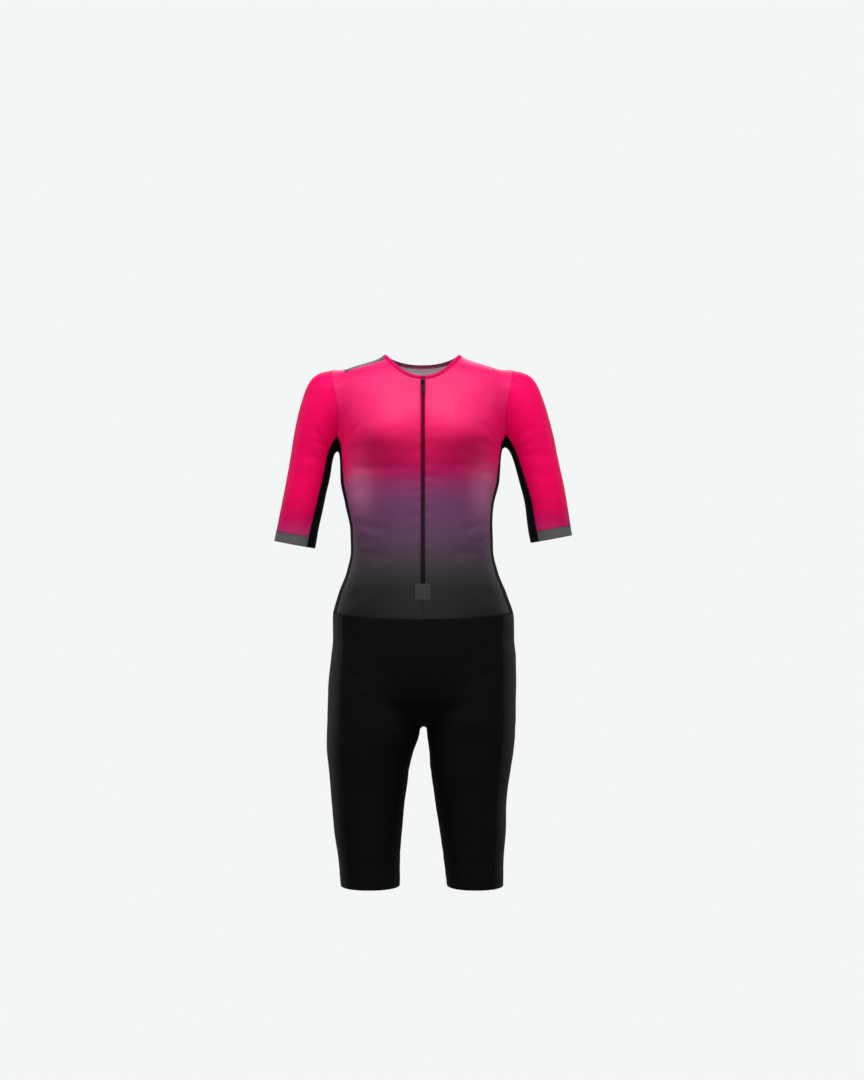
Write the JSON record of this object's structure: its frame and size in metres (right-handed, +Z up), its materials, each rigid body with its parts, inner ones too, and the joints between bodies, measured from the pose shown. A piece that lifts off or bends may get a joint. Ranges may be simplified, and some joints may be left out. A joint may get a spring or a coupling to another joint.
{
  "type": "triathlon suit",
  "caption": "One-piece triathlon suit, worn form: short pink sleeves and top fading to black shorts, dark side and underarm panels, front zip with hinged pull, open neck, sleeves and legs.",
  "frame": {"origin": "middle of the neck opening, level with the neck points of the shoulders", "axes": "+Z up the worn body, -Y to the wearer's front where the zip is, +X to the wearer's left"},
  "size_m": [0.534, 0.2346, 0.9533],
  "materials": {
    "printed_jersey": "knitted stretch jersey, bright pink fading to near black at the waist, satin",
    "black_jersey": "knitted stretch jersey, black, matte",
    "grey_gripper": "elastic gripper band, grey, matte",
    "dark_binding": "folded binding, dark, matte",
    "shorts_jersey": "knitted stretch jersey, black, slight sheen",
    "thigh_jersey": "knitted stretch jersey, black, more sheen",
    "zip_tape": "woven tape with a moulded coil, black",
    "zip_lacquer": "black lacquer, satin",
    "grey_patch": "plain bonded patch, dark grey, matte"
  },
  "bodies": {
    "suit": {"front_left": "printed_jersey", "side_left": "black_jersey", "sleeve_left": "printed_jersey", "cuff_left": "grey_gripper", "undersleeve_left": "black_jersey", "neckband_left": "printed_jersey", "shorts_front_left": "shorts_jersey", "shorts_side_left": "thigh_jersey", "shorts_back_left": "shorts_jersey", "front_right": "printed_jersey", "side_right": "black_jersey", "sleeve_right": "printed_jersey", "cuff_right": "grey_gripper", "undersleeve_right": "black_jersey", "neckband_right": "printed_jersey", "shorts_front_right": "shorts_jersey", "shorts_side_right": "thigh_jersey", "shorts_back_right": "shorts_jersey", "back": "printed_jersey", "neckband_back": "dark_binding", "zip_strip": "zip_tape", "zip_slider": "zip_lacquer", "zip_patch": "grey_patch"},
    "zip_pull": {"zip_pull": "zip_lacquer"}
  },
  "joints": [
    {"name": "pull_swing", "type": "hinge", "parent": "suit", "child": "zip_pull", "pos_m": [0.002, -0.08098, -0.04851], "axis": [-1, 0, 0], "range_deg": [0, 165]}
  ]
}
